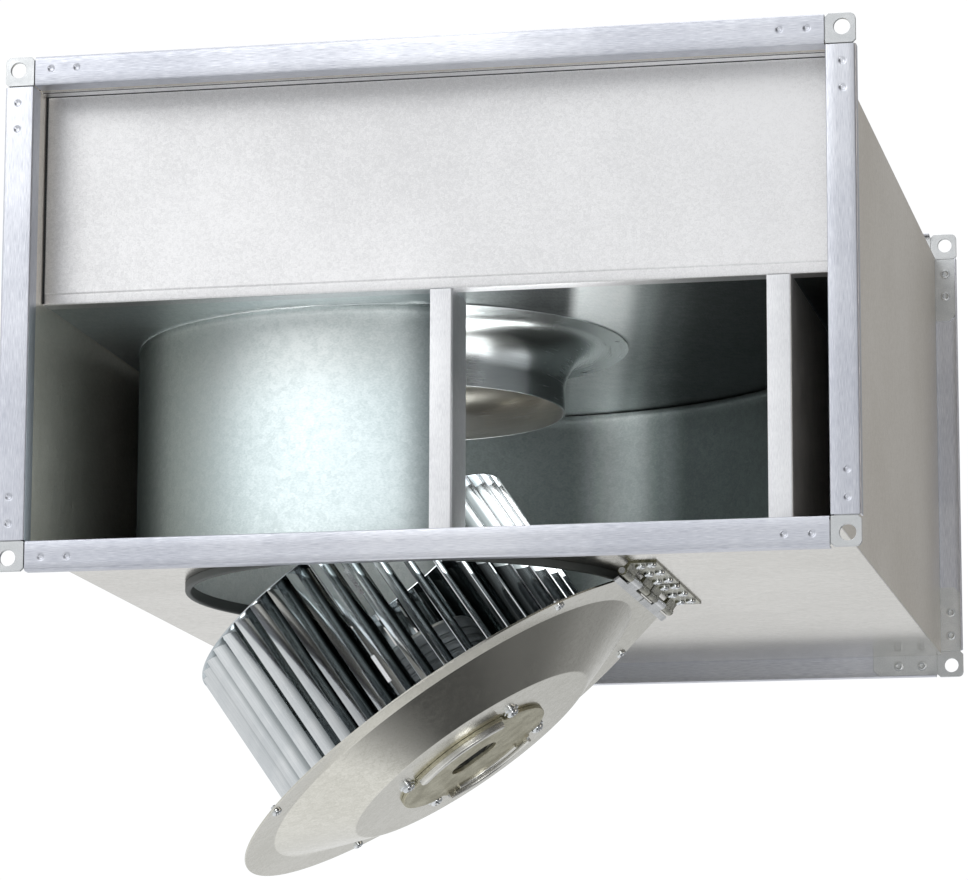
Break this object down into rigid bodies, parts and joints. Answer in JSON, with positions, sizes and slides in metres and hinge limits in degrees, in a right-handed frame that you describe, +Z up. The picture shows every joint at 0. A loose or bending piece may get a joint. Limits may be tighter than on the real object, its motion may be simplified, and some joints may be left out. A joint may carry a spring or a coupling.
{
  "type": "inline duct fan",
  "caption": "Galvanised in-line duct fan with slide-on flanges at both ends, a scroll housing and a motor-impeller unit that swings out of the bottom on a hinged door.",
  "frame": {"origin": "centre of the outlet flange face", "axes": "+X right as seen from the outlet, +Y along the duct from outlet to inlet, +Z up"},
  "size_m": [0.6712, 0.71, 0.5924],
  "materials": {
    "galvanised_sheet": "satin",
    "flange_profile": "satin",
    "corner_plate": "satin",
    "spun_cone": "polished",
    "zinc_screws": "polished",
    "zinc_hinge": "satin",
    "seal_rubber": "matte",
    "plastic": "matte",
    "terminal_plastic": "matte",
    "door_sheet": "satin",
    "motor_casting": "satin",
    "rotor_casting": "satin",
    "lamination": "satin",
    "winding": "satin",
    "bearing_steel": "polished",
    "impeller_steel": "polished"
  },
  "bodies": {
    "casing": {"casing_wrap": "galvanised_sheet", "bottom_plate": "galvanised_sheet", "front_flange_top": "flange_profile", "front_flange_bottom": "flange_profile", "front_flange_left": "flange_profile", "front_flange_right": "flange_profile", "front_corner_plates": "corner_plate", "rear_flange_top": "flange_profile", "rear_flange_bottom": "flange_profile", "rear_flange_left": "flange_profile", "rear_flange_right": "flange_profile", "rear_corner_plates": "corner_plate", "front_panel": "galvanised_sheet", "divider_plate": "galvanised_sheet", "rear_panel": "galvanised_sheet", "inlet_cone": "spun_cone", "cone_rivets": "zinc_screws", "scroll_wall": "galvanised_sheet", "tongue_post": "galvanised_sheet", "outlet_wall": "galvanised_sheet", "access_seal": "seal_rubber", "door_nuts": "zinc_screws", "casing_leaf_front": "zinc_hinge", "casing_leaf_rear": "zinc_hinge", "hinge_pin_front": "zinc_screws", "hinge_pin_rear": "zinc_screws", "hinge_screws": "zinc_screws", "terminal_box": "plastic", "terminal_lid": "plastic", "terminal_lid_screws": "zinc_screws", "terminal_block": "terminal_plastic", "cable_gland": "plastic"},
    "door": {"door_plate": "door_sheet", "door_leaf_front": "zinc_hinge", "door_leaf_rear": "zinc_hinge", "door_screws": "zinc_screws", "motor_plate": "motor_casting", "motor_screws": "zinc_screws", "motor_nuts": "zinc_screws", "motor_flange": "motor_casting", "stator_core": "lamination", "stator_windings": "winding", "bearing_lower": "bearing_steel", "bearing_upper": "bearing_steel"},
    "impeller": {"shaft": "bearing_steel", "rotor_shell": "rotor_casting", "rotor_cage": "lamination", "impeller_back_plate": "impeller_steel", "impeller_blades": "impeller_steel", "impeller_inlet_ring": "impeller_steel", "hub_rivets": "zinc_screws", "balance_clips": "zinc_screws"}
  },
  "joints": [
    {"name": "door_hinge", "type": "hinge", "parent": "casing", "child": "door", "pos_m": [0.121, 0.25, -0.183], "axis": [0, -1, 0], "range_deg": [-34.8, 75]},
    {"name": "impeller_spin", "type": "hinge", "parent": "door", "child": "impeller", "pos_m": [-0.02845, 0.25, -0.28687], "axis": [-0.5707, 0, 0.8212], "continuous": true}
  ]
}
